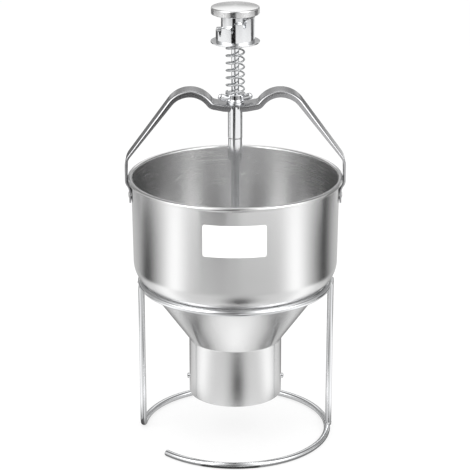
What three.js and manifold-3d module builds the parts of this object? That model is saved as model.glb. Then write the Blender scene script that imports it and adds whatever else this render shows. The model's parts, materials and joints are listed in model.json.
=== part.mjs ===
// A stainless steel batter dispenser: a hopper with a funnel and nozzle in a wire stand, a strap
// handle with a guide tube, and a sprung plunger whose stepped cup sets the portion.
// Millimetres, +Z up. The origin is on the floor under the hopper's axis and the front faces -Y.
import * as THREE from "three";
import { mergeVertices } from "three/addons/utils/BufferGeometryUtils.js";
import Module from "manifold-3d";

const wasm = await Module();
wasm.setup();

// Clearances, and the reach of a cutting shape past what it cuts.
const touchGap = 0.3; // between curved or cut pieces that touch
const runGap = 0.4; // radial clearance of what slides
const seatGap = 0.1; // under the ends of the spring
const overrun = 1;
const mergeDistance = 0.001;

// Facets.
const bowlSides = 64;
const turnSides = 40;
const smallSides = 16;
const wireSides = 8;
const arcSteps = 6;

// Wire stand.
const wireRadius = 3;
const ringInset = 6.7; // axis of both rings inside the hopper's wall
const standHeight = 154.5; // floor to the axis of the top ring
const footFlat = 0.2; // depth ground off under the base ring
const legOutset = 1.2; // the right leg stands this far outside the rings' axis
const footBend = 9;
const ringGapAngle = 43.5; // degrees of the base ring that are open, front left
const ringSteps = 56;
const bendSteps = 5;

// Hopper.
const sheet = 1;
const rimRadius = 100;
const beadRadius = 2.2;
const wallDraft = 0.9; // the wall is this much narrower at the lower corner than at the rim
const wallHeight = 79.3; // lower corner to the axis of the bead
const cornerRadius = 26;
const cornerTurn = THREE.MathUtils.degToRad(52);
const coneHeight = 58.4;
const spigotLength = 6;

// Nozzle.
const nozzleRadius = 44;
const nozzleLength = 55.7;
const seamGap = 0.1;

// Dosing insert and its two screws.
const insertSheet = 1.5;
const insertLift = 2; // its tube's mouth above the nozzle's mouth
const skirtLift = 6; // its skirt above its tube's mouth
const insertHeight = 44;
const doseRadius = 25.3;
const doseLength = 20;
const screwLift = 13.5; // screws above the nozzle's mouth
const screwRadius = 1.5;
const screwHeadRadius = 2.5;
const screwHeadHeight = 2.2;
const nutHeight = 2.4;
const nutRadius = 3.1;
const screwTail = 0.8; // past the nut

// Strap handle: flat seat, dish, crown, slope, knee and tab.
const strapSheet = 1.4;
const strapWidth = 20.8;
const lipHeight = 5.7;
const handleRise = 70.8; // bead's axis to the top of the flat seat
const seatHalfLength = 8.8;
const dishAngle = THREE.MathUtils.degToRad(11);
const dishFillet = 4;
const crownReachShare = 0.415; // of the rim's radius, crown's top from the axis
const crownRadiusShare = 0.25; // of the rim's radius
const crownRise = 13.7; // crown's top above the flat seat
const slopeAngle = THREE.MathUtils.degToRad(54);
const kneeRadius = 18;
const tabGap = 0.6; // tab to the bead
const joggleDrop = 3.4; // bead's axis to the start of the joggle
const joggleHeight = 5.6;
const tabLength = 14; // below the joggle
const notchWidth = 7.4;
const lipTaperShare = 0.3; // of the arm's length, where the lips start to fade
const rivetRadius = 1.6;
const rivetHeadRadius = 3;
const rivetHeadHeight = 1;
const rivetSpacing = 11;
const rivetLift = 7.5; // rivets above the tab's end

// Rod, guide tube, collar and their clamp.
const rodRadius = 3.6;
const tubeRadius = 6.8;
const tubeLength = 31;
const neckRadius = 5;
const washerRadius = 8.3;
const washerHeight = 1.6;
const hubRadius = 6.5;
const hubHeight = 7;
const hubFootRadius = 7.6;
const hubFootHeight = 1.3;
const wingReach = 15.7;
const wingRise = 1.7; // wing tips above the hub
const wingThickness = 2;
const seatRadius = 9.2;
const seatHeight = 1.2;
const neckStop = 0.3; // neck's end below the top of the spring seat
const collarRadius = 6.5;
const collarLength = 21.5;
const collarRound = 7;
const collarFootRadius = 4.9;
const collarScrewDrop = 9.6; // below the collar's top
const collarScrewRadius = 1.5;

// Return spring.
const springRadius = 8.1; // axis of the wire
const springWireRadius = 0.95;
const springLength = 49.7;
const springTurns = 6.5; // between its two end bends
const springBend = 2;
const springStart = THREE.MathUtils.degToRad(165);
const curlSteps = 8;
const curlSides = 5;

// Level cup, thrust washer and pin.
const cupRadius = 17.7;
const flangeRadius = 22.4;
const flangeHeight = 1.6;
const cupWell = 3.8; // depth of the recess that holds the thrust washer
const cupWellRadius = 15.2;
const thrustHeight = 1.5;
const firstTreadRise = 11.6; // lowest tread above the underside of the flange
const stepRise = 4.1;
const stepCount = 3;
const wallAngle = THREE.MathUtils.degToRad(-85); // from the front, to the right
const treadAngle = THREE.MathUtils.degToRad(40);
const treadChamfer = 1;
const slotWidth = 3;
const slotDepth = 4.1;
const slotLand = 0.5; // between a slot and the riser
const pinRadius = 1.3;
const pinGap = 0.6; // pin above its tread
const pinEndInset = 0.3;

// Knob.
const capRadius = 22;
const capHeight = 7;
const capDome = 0.8;
const capRound = 0.9;
const capGap = 2.4; // over the highest tread
const capSocket = 3.4;
const sleeveRadius = 12.9;
const sleeveGap = 0.8; // over the thrust washer

// Spool on the rod's end.
const spoolEndRadius = 2.5;
const pistonHeight = 6;
const pistonGap = 2.5; // over the dosing tube at rest
const discHeight = 3;
const spacerRadius = 6;
const endNutRadius = 4.6;
const endNutHeight = 4;
const rodTail = 1.2; // past the end nut
const discChamfer = 0.8;

// Heights worked out from the floor up.
const baseZ = wireRadius - footFlat;
const wallRadius = rimRadius - 2 * beadRadius + sheet - wallDraft;
const standRadius = wallRadius - ringInset;
const cornerAxis = wallRadius - cornerRadius;
const seatReach = cornerRadius + wireRadius + touchGap;
const cornerZ = standHeight + Math.sqrt(seatReach ** 2 - (standRadius - cornerAxis) ** 2);
const beadZ = cornerZ + wallHeight;
const beadAxis = rimRadius - beadRadius;
const coneFootZ = cornerZ - cornerRadius * Math.sin(cornerTurn) - coneHeight;
const nozzleZ = coneFootZ - nozzleLength;
const doseZ = nozzleZ + insertLift;
const screwZ = nozzleZ + screwLift;
const seatZ = beadZ + handleRise;
const tubeZ = seatZ - strapSheet - tubeLength;
const hubZ = seatZ + washerHeight;
const springZ = hubZ + hubHeight + seatHeight;
const thrustZ = springZ + springLength;
const cupZ = thrustZ + thrustHeight - cupWell;
const firstTreadZ = cupZ + firstTreadRise;
const topTreadZ = firstTreadZ + stepCount * stepRise;
const pinZ = firstTreadZ + pinGap + pinRadius;
const capZ = topTreadZ + capGap;
const collarZ = tubeZ - touchGap - collarLength;
const pistonZ = doseZ + doseLength + pistonGap;
const spacerZ = doseZ + discHeight;

// Radii worked out from their neighbours.
const nozzleBore = nozzleRadius - sheet;
const crownRadius = rimRadius * crownRadiusShare;
const crownReach = rimRadius * crownReachShare;
const cupBore = sleeveRadius + runGap;
const rodBore = rodRadius + runGap;
const rodSocket = rodRadius + touchGap;
const pinHole = pinRadius + touchGap;
const neckBore = neckRadius + touchGap;
const spoolBore = spoolEndRadius + touchGap;
const pistonRadius = doseRadius - runGap;

// The pin lies beside the tall wall that ends the lowest tread.
const pinAngle = wallAngle + Math.asin((pinRadius + touchGap) / cupBore);

const at = (x, y) => new THREE.Vector2(x, y);
const polar = (centre, radius, angle) =>
  at(centre.x + radius * Math.cos(angle), centre.y + radius * Math.sin(angle));

// Points on an arc from one angle to another, both ends included.
function arc(centre, radius, from, to, steps = arcSteps) {
  return Array.from({ length: steps + 1 }, (_, i) =>
    polar(centre, radius, from + ((to - from) * i) / steps));
}

// A closed geometry as a solid that can be joined and cut.
function solid(geometry) {
  const loose = geometry.index ? geometry.toNonIndexed() : geometry;
  const bare = new THREE.BufferGeometry();
  bare.setAttribute("position", loose.getAttribute("position"));
  const shared = mergeVertices(bare, mergeDistance);
  return new wasm.Manifold(new wasm.Mesh({
    numProp: 3,
    vertProperties: shared.attributes.position.array,
    triVerts: new Uint32Array(shared.index.array),
  }));
}

function geometryOf(made) {
  const { vertProperties, triVerts } = made.getMesh();
  const geometry = new THREE.BufferGeometry();
  geometry.setAttribute("position", new THREE.BufferAttribute(vertProperties, 3));
  geometry.setIndex(new THREE.BufferAttribute(triVerts, 1));
  geometry.computeVertexNormals();
  return geometry;
}

function cut(geometry, ...cutters) {
  return geometryOf(cutters.reduce((left, cutter) => left.subtract(solid(cutter)), solid(geometry)));
}

function join(geometry, ...others) {
  return geometryOf(others.reduce((left, other) => left.add(solid(other)), solid(geometry)));
}

// A solid of revolution about Z from points of radius and height. The outline closes on itself
// unless both its ends are on the axis.
function turned(outline, sides = turnSides) {
  const points = THREE.ShapeUtils.area(outline) < 0 ? outline.slice().reverse() : outline.slice();
  if (points[0].x > 0 || points.at(-1).x > 0) points.push(points[0]);
  return new THREE.LatheGeometry(points, sides).rotateX(Math.PI / 2);
}

// An upright tube or, with no bore, an upright bar.
function ring(bore, radius, low, high, sides = turnSides) {
  return turned([at(bore, low), at(radius, low), at(radius, high), at(bore, high)], sides);
}

// A six-sided nut with a round bore.
function hexNut(bore, radius, low, high) {
  return cut(ring(0, radius, low, high, 6), ring(0, bore, low - overrun, high + overrun, smallSides));
}

// An outline in X and Z, carried across in Y between two places.
function across(points, nearY, farY) {
  return new THREE.ExtrudeGeometry(new THREE.Shape(points), {
    depth: farY - nearY,
    bevelEnabled: false,
    curveSegments: arcSteps,
  }).rotateX(Math.PI / 2).translate(0, farY, 0);
}

// A round bar along Y, from one place to another, at a height.
function barAlongY(radius, nearY, farY, height, sides = smallSides) {
  return new THREE.CylinderGeometry(radius, radius, farY - nearY, sides)
    .translate(0, (nearY + farY) / 2, height);
}

// A path through given points, taken at exactly those points.
class PointPath extends THREE.Curve {
  constructor(points) {
    super();
    this.points = points;
  }
  getPoint(share, target = new THREE.Vector3()) {
    const place = Math.min(Math.max(share, 0), 1) * (this.points.length - 1);
    const first = Math.min(Math.floor(place), this.points.length - 2);
    return target.lerpVectors(this.points[first], this.points[first + 1], place - first);
  }
  getUtoTmapping(share) {
    return share;
  }
}

function roundSection(radius, sides) {
  return new THREE.Shape(arc(at(0, 0), radius, 0, 2 * Math.PI, sides).slice(0, sides));
}

function wireAlong(points) {
  return new THREE.ExtrudeGeometry(roundSection(wireRadius, wireSides), {
    steps: points.length - 1,
    extrudePath: new PointPath(points),
  });
}

// Stand.
function torusAt(height, radius, sides = wireSides) {
  return new THREE.TorusGeometry(standRadius, radius, sides, bowlSides).translate(0, 0, height);
}

const standTopRing = () => torusAt(standHeight, wireRadius);

// The left leg bends at the floor into the open base ring, which runs round the back.
function standBaseWire() {
  const ringStart = Math.PI - Math.asin(footBend / standRadius);
  const ringEnd = Math.PI - (2 * Math.PI - THREE.MathUtils.degToRad(ringGapAngle));
  const points = [new THREE.Vector3(-standRadius, 0, standHeight)];
  for (const bend of arc(at(footBend, baseZ + footBend), footBend, Math.PI, 1.5 * Math.PI, bendSteps))
    points.push(new THREE.Vector3(-Math.sqrt(standRadius ** 2 - bend.x ** 2), bend.x, bend.y));
  for (const spot of arc(at(0, 0), standRadius, ringStart, ringEnd, ringSteps).slice(1))
    points.push(new THREE.Vector3(spot.x, spot.y, baseZ));
  const floor = new THREE.BoxGeometry(3 * standRadius, 3 * standRadius, overrun).translate(0, 0, -overrun / 2);
  return cut(wireAlong(points), torusAt(standHeight, wireRadius + touchGap), floor);
}

function standLegRight() {
  const leg = new THREE.CylinderGeometry(wireRadius, wireRadius, standHeight - baseZ, 2 * wireSides)
    .rotateX(Math.PI / 2)
    .translate(standRadius + legOutset, 0, (standHeight + baseZ) / 2);
  return cut(leg, torusAt(standHeight, wireRadius + touchGap), torusAt(baseZ, wireRadius + touchGap));
}

// Hopper. The outline runs up the outside, round the rolled rim and back down the inside.
function hopperOutline() {
  const corner = at(cornerAxis, cornerZ);
  const foot = at(nozzleRadius, coneFootZ);
  const coneTop = polar(corner, cornerRadius, -cornerTurn);
  const slope = coneTop.clone().sub(foot).normalize();
  const inward = at(-slope.y, slope.x).multiplyScalar(sheet);
  const spigot = nozzleBore - touchGap;
  const innerFoot = foot.clone().add(inward);
  const innerTop = polar(corner, cornerRadius - sheet, -cornerTurn);
  const spigotInner = spigot - sheet;
  const run = (innerTop.x - innerFoot.x) / (innerTop.y - innerFoot.y);
  const neckZ = innerFoot.y + (spigotInner - innerFoot.x) / run;
  const bead = at(beadAxis, beadZ);
  const rimWall = rimRadius - 2 * beadRadius;
  const curl = Math.PI + Math.acos((beadAxis - rimWall - sheet) / beadRadius);
  return [
    at(spigotInner, coneFootZ - spigotLength),
    at(spigot, coneFootZ - spigotLength),
    at(spigot, coneFootZ),
    foot,
    ...arc(corner, cornerRadius, -cornerTurn, 0),
    ...arc(bead, beadRadius, curl - 2 * Math.PI, Math.PI, 2 * arcSteps),
    ...arc(corner, cornerRadius - sheet, 0, -cornerTurn),
    at(spigotInner, Math.max(neckZ, coneFootZ)),
  ];
}

// Two holes a side for the rivets of the handle.
function rivetPlaces() {
  const places = [];
  for (const side of [-1, 1])
    for (const depth of [-1, 1]) places.push({ side, y: (depth * rivetSpacing) / 2 });
  return places;
}

function rivetHole({ side, y }) {
  const length = rimRadius - wallRadius + 4 * sheet;
  return new THREE.CylinderGeometry(rivetRadius + touchGap, rivetRadius + touchGap, 2 * length, smallSides)
    .rotateZ(Math.PI / 2)
    .translate(side * (tabFace() - strapSheet), y, rivetZ());
}

function hopperShell() {
  return cut(turned(hopperOutline(), bowlSides), ...rivetPlaces().map(rivetHole));
}

function nozzleTube() {
  const tube = ring(nozzleBore, nozzleRadius, nozzleZ, coneFootZ - seamGap, bowlSides);
  const holes = new THREE.CylinderGeometry(
    screwRadius + touchGap, screwRadius + touchGap, 2 * nozzleRadius + 2 * overrun, smallSides)
    .rotateZ(Math.PI / 2)
    .translate(0, 0, screwZ);
  return cut(tube, holes);
}

// Handle. The outline of its top runs from the middle out to the end of the right tab.
const tabFace = () => wallRimRadius() + touchGap + strapSheet;
const wallRimRadius = () => rimRadius - 2 * beadRadius + sheet;
const kneeFace = () => rimRadius + tabGap + strapSheet;
const joggleZ = () => beadZ - joggleDrop;
const tabEndZ = () => joggleZ() - joggleHeight - tabLength;
const rivetZ = () => tabEndZ() + rivetLift;

function crownCentre() {
  return at(crownReach, seatZ + crownRise - crownRadius);
}

// The small fillet between the dish and the crown touches both.
function filletCentre() {
  const along = at(Math.cos(dishAngle), Math.sin(dishAngle));
  const up = at(-along.y, along.x);
  const start = at(seatHalfLength, seatZ).addScaledVector(up, dishFillet);
  const toCrown = crownCentre().sub(start);
  const reach = crownRadius + dishFillet;
  const ahead = toCrown.dot(along);
  const aside = toCrown.dot(up);
  return start.addScaledVector(along, ahead - Math.sqrt(reach ** 2 - aside ** 2));
}

function archTop() {
  const crown = crownCentre();
  const fillet = filletCentre();
  const meet = Math.atan2(fillet.y - crown.y, fillet.x - crown.x);
  const slopeStart = polar(crown, crownRadius, Math.PI / 2 - slopeAngle);
  const kneeX = kneeFace() - kneeRadius;
  const kneeStartX = kneeX + kneeRadius * Math.sin(slopeAngle);
  const kneeStartZ = slopeStart.y - (kneeStartX - slopeStart.x) * Math.tan(slopeAngle);
  const knee = at(kneeX, kneeStartZ - kneeRadius * Math.cos(slopeAngle));
  return [
    at(0, seatZ),
    at(seatHalfLength, seatZ),
    ...arc(fillet, dishFillet, dishAngle - Math.PI / 2, meet - Math.PI, arcSteps / 2),
    ...arc(crown, crownRadius, meet, Math.PI / 2 - slopeAngle, 2 * arcSteps).slice(1),
    ...arc(knee, kneeRadius, Math.PI / 2 - slopeAngle, 0),
  ];
}

function armTop() {
  return [
    ...archTop(),
    at(kneeFace(), joggleZ()),
    at(tabFace(), joggleZ() - joggleHeight),
    at(tabFace(), tabEndZ()),
  ];
}

// Distance of each point along its line from the first one.
function distances(points) {
  const lengths = [0];
  for (let i = 1; i < points.length; i++) lengths.push(lengths[i - 1] + points[i].distanceTo(points[i - 1]));
  return lengths;
}

// Each point of the arm's top, set down square to the strap by a depth that may change along it.
function setDown(top, depthAt) {
  const lengths = distances(top);
  return top.map((point, i) => {
    const back = point.clone().sub(top[Math.max(i - 1, 0)]).normalize();
    const ahead = top[Math.min(i + 1, top.length - 1)].clone().sub(point).normalize();
    const tangent = i === 0 ? at(1, 0) : back.clone().add(ahead).normalize();
    const stretch = i === 0 || i === top.length - 1 ? 1 : 1 / tangent.dot(back);
    const down = at(tangent.y, -tangent.x).multiplyScalar(depthAt(lengths[i] / lengths.at(-1)) * stretch);
    return point.clone().add(down);
  });
}

const mirrored = (points) => points.map((point) => at(-point.x, point.y)).reverse();

// The outline between two curves of one arm, with its mirror image.
function bothArms(upper, lower) {
  const top = [...mirrored(upper.slice(1)), ...upper];
  const under = [...mirrored(lower.slice(1)), ...lower].reverse();
  return [...top, ...under];
}

// Lips of full height near the middle, fading out at the end of the knee.
function lipDepth(share) {
  const kneeEndShare = distances(archTop()).at(-1) / distances(armTop()).at(-1);
  const fade = THREE.MathUtils.clamp((share - lipTaperShare) / (kneeEndShare - lipTaperShare), 0, 1);
  return THREE.MathUtils.lerp(lipHeight, strapSheet, fade);
}

function handleBracket() {
  const top = armTop();
  const archCount = archTop().length;
  const strap = across(bothArms(top, setDown(top, lipDepth)), -strapWidth / 2, strapWidth / 2);
  const inside = strapWidth / 2 - strapSheet;
  const under = setDown(top, () => strapSheet).slice(0, archCount);
  const below = setDown(top, (share) => lipDepth(share) + overrun).slice(0, archCount);
  const hollow = across(bothArms(under, below), -inside, inside);
  const notchHeight = lipHeight + overrun;
  const notch = new THREE.BoxGeometry(notchWidth, strapWidth + 2 * overrun, notchHeight)
    .translate(0, 0, seatZ - strapSheet - notchHeight / 2);
  const neckHole = ring(0, neckBore, seatZ - strapSheet - overrun, seatZ + overrun);
  return cut(strap, hollow, notch, neckHole, ...rivetPlaces().map(rivetHole));
}

// A rivet: flat head on the tab, shank through tab and wall, and a closed head inside the bowl.
function rivet({ side, y }) {
  const innerWall = wallRimRadius() - sheet;
  const reach = Math.abs(y) + rivetHeadRadius;
  const sagitta = innerWall * (1 - Math.cos(Math.PI / bowlSides));
  const insideX = Math.sqrt(innerWall ** 2 - reach ** 2) - sagitta - wallDraft - touchGap;
  const outline = [
    at(0, insideX - rivetHeadHeight),
    at(rivetHeadRadius, insideX - rivetHeadHeight),
    at(rivetHeadRadius, insideX),
    at(rivetRadius, insideX),
    at(rivetRadius, tabFace()),
    at(rivetHeadRadius, tabFace()),
    at(rivetHeadRadius - rivetHeadHeight / 2, tabFace() + rivetHeadHeight),
    at(0, tabFace() + rivetHeadHeight),
  ];
  return turned(outline, smallSides).rotateY((side * Math.PI) / 2).translate(0, y, rivetZ());
}

// Guide tube with its threaded neck, and what clamps it to the strap.
function guideTube() {
  const shoulderZ = seatZ - strapSheet;
  const neckTop = springZ - neckStop;
  return turned([
    at(rodBore, tubeZ),
    at(tubeRadius, tubeZ),
    at(tubeRadius, shoulderZ),
    at(neckRadius, shoulderZ),
    at(neckRadius, neckTop),
    at(rodBore, neckTop),
  ]);
}

const clampWasher = () => ring(neckBore, washerRadius, seatZ, hubZ);

// One wing in X and Z, rising from the hub's foot to a round tip.
function wingOutline() {
  const rootX = (neckBore + hubRadius) / 2;
  const topZ = hubZ + hubHeight;
  const tipRadius = (wingReach - seatRadius) / 3;
  const tip = at(wingReach - tipRadius, topZ + wingRise - tipRadius);
  return [
    at(rootX, hubZ + hubFootHeight / 2),
    at(hubFootRadius, hubZ + hubFootHeight / 2),
    at((hubFootRadius + wingReach) / 2, hubZ + hubHeight / 4),
    ...arc(tip, tipRadius, -Math.PI / 4, (3 * Math.PI) / 4),
    at(seatRadius + touchGap, topZ + seatHeight / 2),
    at(seatRadius + touchGap, topZ - touchGap),
    at(rootX, topZ - touchGap),
  ];
}

function wingNut() {
  const hub = turned([
    at(neckBore, hubZ),
    at(hubFootRadius, hubZ),
    at(hubFootRadius, hubZ + hubFootHeight),
    at(hubRadius, hubZ + 2 * hubFootHeight),
    at(hubRadius, hubZ + hubHeight),
    at(neckBore, hubZ + hubHeight),
  ]);
  const right = across(wingOutline(), -wingThickness / 2, wingThickness / 2);
  const left = right.clone().rotateZ(Math.PI);
  return join(hub, right, left);
}

const springSeat = () => ring(neckBore, seatRadius, hubZ + hubHeight, springZ);

// The spring's axis on its own cylinder, as pairs of angle and height: straight up for one wire
// diameter, a bend, the coils, then the same at the top.
function springPath() {
  const low = springZ + seatGap;
  const high = thrustZ - seatGap;
  const straight = 2 * springWireRadius;
  const coilHeight = high - low - 2 * straight - 2 * springBend;
  const lead = Math.atan2(coilHeight, springTurns * 2 * Math.PI * springRadius);
  const turn = Math.PI / 2 - lead;
  const bendRun = (springBend * (1 - Math.cos(turn))) / springRadius;
  const bendRise = springBend * Math.sin(turn);
  const coilStart = springStart + bendRun;
  const coilLow = low + straight + bendRise;
  const coilHigh = high - straight - bendRise;
  const path = [{ angle: springStart, height: low }];
  const bends = [1, 2, 3].map((step) => (turn * step) / 3);
  path.push({ angle: springStart, height: low + straight });
  for (const bend of bends)
    path.push({
      angle: springStart + (springBend * (1 - Math.cos(bend))) / springRadius,
      height: low + straight + springBend * Math.sin(bend),
    });
  const steps = Math.round(springTurns * curlSteps);
  for (let i = 1; i <= steps; i++)
    path.push({
      angle: coilStart + (i / steps) * springTurns * 2 * Math.PI,
      height: coilLow + (i / steps) * (coilHigh - coilLow),
    });
  const end = path.at(-1).angle + bendRun;
  for (const bend of bends.slice(0, -1).reverse())
    path.push({
      angle: end - (springBend * (1 - Math.cos(bend))) / springRadius,
      height: high - straight - springBend * Math.sin(bend),
    });
  path.push({ angle: end, height: high - straight });
  path.push({ angle: end, height: high });
  return path;
}

const onSpring = ({ angle, height }) =>
  new THREE.Vector3(springRadius * Math.cos(angle), springRadius * Math.sin(angle), height);

// Least distance between the surfaces of two coils, measured on the points of the wire's axis.
function springLeastGap(points) {
  const near = curlSteps / 2;
  let least = Infinity;
  points.forEach((point, i) => {
    for (const other of points.slice(i + near)) least = Math.min(least, point.distanceTo(other));
  });
  return least - 2 * springWireRadius;
}

function returnSpring() {
  const path = springPath();
  const points = path.map(onSpring);
  console.log(`least gap between the spring's coils: ${springLeastGap(points).toFixed(2)} mm`);
  const corners = [];
  path.forEach(({ angle }, i) => {
    const back = points[Math.max(i - 1, 0)];
    const ahead = points[Math.min(i + 1, points.length - 1)];
    const outward = new THREE.Vector3(Math.cos(angle), Math.sin(angle), 0);
    const along = ahead.clone().sub(back);
    along.addScaledVector(outward, -along.dot(outward)).normalize();
    if (i === 1 || i === points.length - 2) along.set(0, 0, 1);
    const sideways = along.clone().cross(outward);
    for (let side = 0; side < curlSides; side++) {
      const turn = (2 * Math.PI * side) / curlSides;
      corners.push(points[i].clone()
        .addScaledVector(outward, springWireRadius * Math.cos(turn))
        .addScaledVector(sideways, springWireRadius * Math.sin(turn)));
    }
  });
  const faces = [];
  const corner = (i, side) => i * curlSides + (side % curlSides);
  for (let i = 0; i + 1 < points.length; i++)
    for (let side = 0; side < curlSides; side++) {
      faces.push(corner(i, side), corner(i, side + 1), corner(i + 1, side));
      faces.push(corner(i, side + 1), corner(i + 1, side + 1), corner(i + 1, side));
    }
  const last = points.length - 1;
  for (let side = 1; side + 1 < curlSides; side++) {
    faces.push(corner(0, 0), corner(0, side + 1), corner(0, side));
    faces.push(corner(last, 0), corner(last, side), corner(last, side + 1));
  }
  const geometry = new THREE.BufferGeometry().setFromPoints(corners);
  geometry.setIndex(faces);
  geometry.computeVertexNormals();
  return geometry;
}

// Collar with a rounded foot, set screw at the front.
function stopCollar() {
  const foot = Array.from({ length: arcSteps / 2 + 1 }, (_, i) => {
    const turn = (Math.PI / 2) * (1 - i / (arcSteps / 2));
    return at(
      collarFootRadius + (collarRadius - collarFootRadius) * Math.cos(turn),
      collarZ + collarRound * (1 - Math.sin(turn)));
  });
  const top = collarZ + collarLength;
  const collar = turned([at(rodSocket, collarZ), ...foot, at(collarRadius, top), at(rodSocket, top)]);
  const hole = collarScrewRadius + touchGap;
  return cut(collar, barAlongY(hole, -collarRadius - overrun, 0, top - collarScrewDrop));
}

function collarScrew() {
  const height = collarZ + collarLength - collarScrewDrop;
  return barAlongY(collarScrewRadius, -collarRadius, -rodRadius - touchGap, height);
}

// Level cup.
const treadZ = (step) => firstTreadZ + step * stepRise;
const treadStart = (step) => wallAngle + step * treadAngle;

// The space over one tread, as a sector. Angles run from the front to the right.
function overTread(step, half) {
  const from = treadStart(step) + half - Math.PI / 2;
  const to = treadStart(step + 1) + half - Math.PI / 2;
  const sector = new THREE.Shape([
    ...arc(at(0, 0), cupRadius + overrun, from, to),
    ...arc(at(0, 0), cupBore - overrun, to, from),
  ]);
  return new THREE.ExtrudeGeometry(sector, {
    depth: topTreadZ + overrun - treadZ(step),
    bevelEnabled: false,
  }).translate(0, 0, treadZ(step));
}

// A cutter that crosses the front wall of the cup, turned to its place round the axis.
function throughWall(points, angle) {
  return across(points, -cupRadius - overrun, -cupBore + overrun).rotateZ(angle);
}

function riserChamfer(step, half) {
  const top = treadZ(step + 1);
  const reach = treadChamfer / 2;
  const points = [
    at(-reach, top - treadChamfer - reach),
    at(treadChamfer + reach, top + reach),
    at(-reach, top + reach),
  ];
  return throughWall(points, treadStart(step + 1) + half);
}

function riserSlot(step, half) {
  const middle = -slotLand - slotWidth / 2;
  const radius = slotWidth / 2;
  const low = treadZ(step) - slotDepth + radius;
  const points = [
    ...arc(at(middle, low), radius, Math.PI, 2 * Math.PI),
    at(middle + radius, treadZ(step) + overrun),
    at(middle - radius, treadZ(step) + overrun),
  ];
  return throughWall(points, treadStart(step + 1) + half);
}

function levelCup() {
  const ceiling = cupZ + cupWell;
  const body = turned([
    at(cupWellRadius, cupZ),
    at(flangeRadius, cupZ),
    at(flangeRadius, cupZ + flangeHeight),
    at(cupRadius, cupZ + flangeHeight),
    at(cupRadius, topTreadZ),
    at(cupBore, topTreadZ),
    at(cupBore, ceiling),
    at(cupWellRadius, ceiling),
  ]);
  const cutters = [];
  for (const half of [0, Math.PI])
    for (let step = 0; step < stepCount; step++)
      cutters.push(overTread(step, half), riserChamfer(step, half), riserSlot(step, half));
  return cut(body, ...cutters);
}

const thrustWasher = () =>
  ring(rodBore, cupWellRadius - touchGap, thrustZ, thrustZ + thrustHeight);

// A bar along the pin's direction.
function alongPin(radius, halfLength) {
  return barAlongY(radius, -halfLength, halfLength, pinZ).rotateZ(pinAngle);
}

const levelPin = () => alongPin(pinRadius, cupRadius - pinEndInset);

// Knob: sleeve, cap and rod.
function knobSleeve() {
  const low = thrustZ + thrustHeight + sleeveGap;
  return cut(ring(rodSocket, sleeveRadius, low, capZ), alongPin(pinHole, sleeveRadius + overrun));
}

function pushKnob() {
  const edge = capZ + capHeight;
  const crown = capRadius - capRound;
  const domeRadius = (crown ** 2 + capDome ** 2) / (2 * capDome);
  const domeCentre = at(0, edge + capDome - domeRadius);
  const domeStart = Math.acos(crown / domeRadius);
  return turned([
    at(0, capZ + capSocket),
    at(rodSocket, capZ + capSocket),
    at(rodSocket, capZ),
    at(capRadius - capRound, capZ),
    at(capRadius, capZ + capRound),
    ...arc(at(crown, edge - capRound), capRound, 0, Math.PI / 2, arcSteps / 2),
    ...arc(domeCentre, domeRadius, domeStart, Math.PI / 2, arcSteps / 2).slice(1, -1),
    at(0, edge + capDome),
  ]);
}

function plungerRod() {
  const shoulder = pistonZ + pistonHeight;
  const end = doseZ - endNutHeight - rodTail;
  const top = capZ + capSocket - touchGap;
  const rod = turned([
    at(0, end),
    at(spoolEndRadius, end),
    at(spoolEndRadius, shoulder),
    at(rodRadius, shoulder),
    at(rodRadius, top),
    at(0, top),
  ], smallSides);
  return cut(rod, alongPin(pinHole, 2 * rodRadius));
}

// Spool: two discs that run in the dosing tube, a spacer between them and a nut.
function spoolDisc(low, height) {
  return turned([
    at(spoolBore, low),
    at(pistonRadius - discChamfer, low),
    at(pistonRadius, low + discChamfer),
    at(pistonRadius, low + height - discChamfer),
    at(pistonRadius - discChamfer, low + height),
    at(spoolBore, low + height),
  ]);
}

const pistonDisc = () => spoolDisc(pistonZ, pistonHeight);
const cutterDisc = () => spoolDisc(doseZ, discHeight);
const spoolSpacer = () => ring(spoolBore, spacerRadius, spacerZ, pistonZ, smallSides);
const endNut = () => hexNut(spoolBore, endNutRadius, doseZ - endNutHeight, doseZ);

// Dosing insert: a skirt against the nozzle, a funnel, and the tube that the discs run in.
function dosingInsert() {
  const skirtRadius = nozzleBore - touchGap;
  const top = doseZ + insertHeight;
  const skirtInner = skirtRadius - insertSheet;
  const insert = turned([
    at(doseRadius, doseZ),
    at(doseRadius + insertSheet, doseZ),
    at(doseRadius + insertSheet, doseZ + doseLength - insertSheet),
    at(skirtInner, top - 2 * insertSheet),
    at(skirtInner, doseZ + skirtLift),
    at(skirtRadius, doseZ + skirtLift),
    at(skirtRadius, top),
    at(skirtInner, top),
    at(doseRadius, doseZ + doseLength),
  ], bowlSides);
  const hole = screwRadius + touchGap;
  const holes = [-1, 1].map((side) =>
    new THREE.CylinderGeometry(hole, hole, nozzleRadius - skirtInner + 2 * overrun, smallSides)
      .rotateZ(Math.PI / 2)
      .translate(side * skirtInner, 0, screwZ));
  return cut(insert, ...holes);
}

// Where a nut's flat face clears the curved skirt.
function nutFace() {
  const inner = nozzleBore - touchGap - insertSheet;
  return Math.sqrt(inner ** 2 - nutRadius ** 2) - touchGap;
}

function nozzleScrew(side) {
  const head = nozzleRadius + touchGap;
  const end = nutFace() - nutHeight - screwTail;
  return turned([
    at(0, end),
    at(screwRadius, end),
    at(screwRadius, head),
    at(screwHeadRadius, head),
    at(screwHeadRadius, head + screwHeadHeight / 2),
    at(screwHeadRadius / 2, head + screwHeadHeight),
    at(0, head + screwHeadHeight),
  ], smallSides).rotateY((side * Math.PI) / 2).translate(0, 0, screwZ);
}

function nozzleNut(side) {
  const high = nutFace();
  return hexNut(screwRadius + touchGap, nutRadius, high - nutHeight, high)
    .rotateY((side * Math.PI) / 2).translate(0, 0, screwZ);
}

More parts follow.
